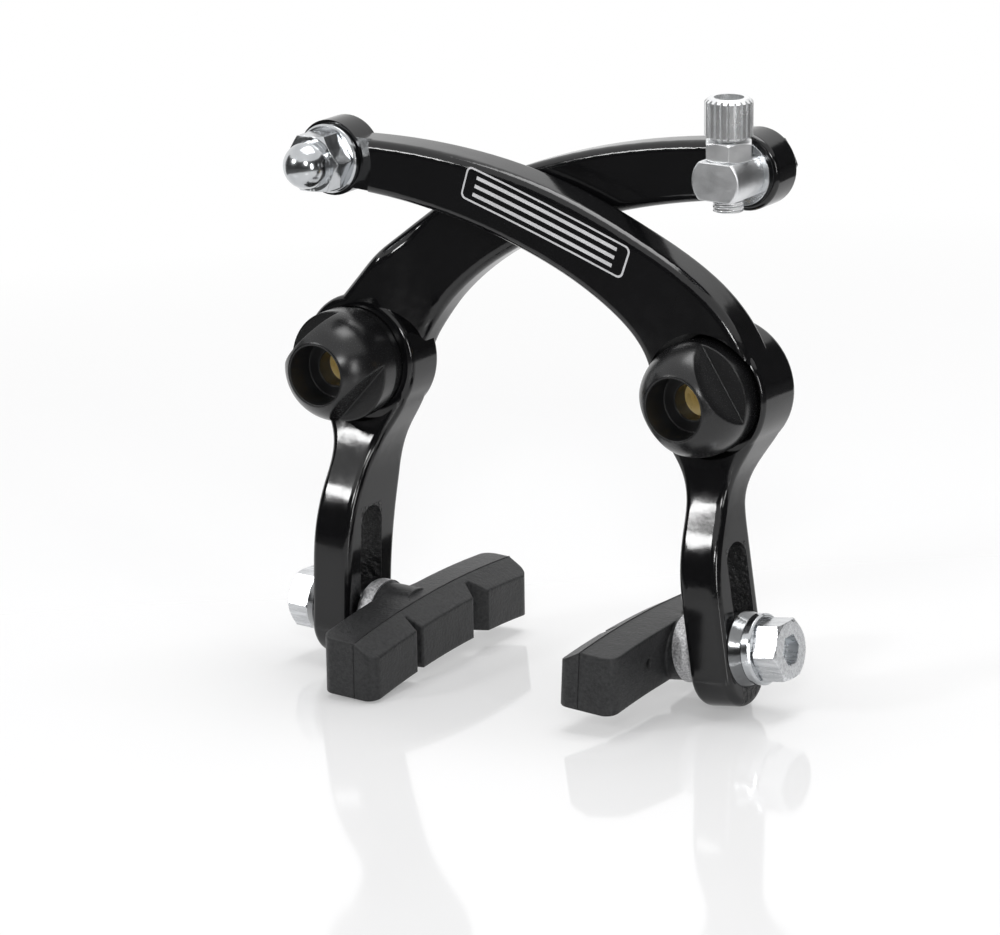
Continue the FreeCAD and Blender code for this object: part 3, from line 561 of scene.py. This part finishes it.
def seam(name, place, body):
    """A thin round bead along the parting line of a pad."""
    path = [place @ spot for spot in seam_path()]
    points = []
    for number, spot in enumerate(path):
        ahead = path[min(number + 1, len(path) - 1)] - path[max(number - 1, 0)]
        turn = ahead.to_track_quat("Z", "Y")
        for step in range(SEAM_SIDES):
            angle = 2 * math.pi * step / SEAM_SIDES
            points.append(spot + turn @ (Vector((math.cos(angle), math.sin(angle), 0)) * SEAM_R))
    faces = []
    for ring in range(len(path) - 1):
        low = ring * SEAM_SIDES
        high = low + SEAM_SIDES
        for step in range(SEAM_SIDES):
            after = (step + 1) % SEAM_SIDES
            faces.append((low + step, low + after, high + after, high + step))
    faces.append(tuple(reversed(range(SEAM_SIDES))))
    faces.append(tuple(range(len(points) - SEAM_SIDES, len(points))))
    bead = new_mesh(name, points, faces, RUBBER)
    for face in bead.data.polygons:
        face.use_smooth = True
    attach(bead, body)


seam("left_pad_seam", pad_place(-1, LEFT_PAD_TILT, 0.0, 0.0), "left_pad")
seam("right_pad_seam", pad_place(1, 0.0, RIGHT_PAD_CAMBER, RIGHT_PAD_RAISE), "right_pad")

# Camera
back = Vector((
    math.sin(AZIMUTH) * math.cos(ELEVATION),
    -math.cos(AZIMUTH) * math.cos(ELEVATION),
    math.sin(ELEVATION),
))
level = Vector((math.cos(AZIMUTH), math.sin(AZIMUTH), 0.0))
upright = back.cross(level)
across = level * math.cos(ROLL) + upright * math.sin(ROLL)
above = upright * math.cos(ROLL) - level * math.sin(ROLL)
lens = bpy.data.cameras.new("camera")
lens.sensor_fit = "HORIZONTAL"
lens.sensor_width = SENSOR
lens.lens = FOCAL_PIXELS / PICTURE_PIXELS * SENSOR
lens.clip_start = 0.05
lens.clip_end = 50.0
camera = new_object("camera", lens)
camera.matrix_world = Matrix((across, above, back)).transposed().to_4x4()
camera.location = TARGET + back * DISTANCE
scene.camera = camera

# Floor
corners = [(-1, -1), (1, -1), (1, 1), (-1, 1)]
floor_points = [(x * FLOOR_REACH, y * FLOOR_REACH, FLOOR_Z) for x, y in corners]
floor = new_mesh("floor", floor_points, [(0, 1, 2, 3)], plain_floor())

# The dark side of the studio, which only mirror rays meet
room_points = []
room_faces = []
low = Vector((0, 0, FLOOR_Z + ROOM_LIFT))
for step in range(ROOM_STEPS + 1):
    angle = math.radians(ROOM_START + (ROOM_END - ROOM_START) * step / ROOM_STEPS)
    turn = Vector((math.cos(angle), math.sin(angle), 0))
    foot = low + turn * ROOM_FAR
    room_points += [low + turn * ROOM_NEAR, foot, foot + Vector((0, 0, ROOM_TOP))]
for step in range(ROOM_STEPS):
    for first in (3 * step, 3 * step + 1):
        room_faces.append((first, first + 1, first + 4, first + 3))
room = new_mesh("dark_room", room_points, room_faces, dark_room())
for kind in ("camera", "diffuse", "shadow", "transmission", "volume_scatter"):
    setattr(room, "visible_" + kind, False)

# Lamps, all facing the brake
for name, (toward, distance, width, height, power) in LAMPS.items():
    lamp = bpy.data.lights.new(name, "AREA")
    lamp.shape = "RECTANGLE"
    lamp.size = width
    lamp.size_y = height
    lamp.energy = power
    box = new_object(name, lamp)
    box.location = Vector(toward).normalized() * distance
    box.rotation_euler = Vector(toward).to_track_quat("Z", "Y").to_euler()
    box.visible_camera = False

# World: white where it is seen, weaker as a light
world = bpy.data.worlds.new("world")
scene.world = world
world.use_nodes = True
sky = world.node_tree
background = sky.nodes["Background"]
background.inputs["Color"].default_value = (1.0, 1.0, 1.0, 1.0)
strength = sky.nodes.new("ShaderNodeMapRange")
strength.inputs["To Min"].default_value = WORLD_LIGHT
strength.inputs["To Max"].default_value = WORLD_WHITE
sky.links.new(seen_directly(sky.nodes, sky.links), strength.inputs["Value"])
sky.links.new(strength.outputs["Result"], background.inputs["Strength"])

scene.view_settings.view_transform = "Standard"
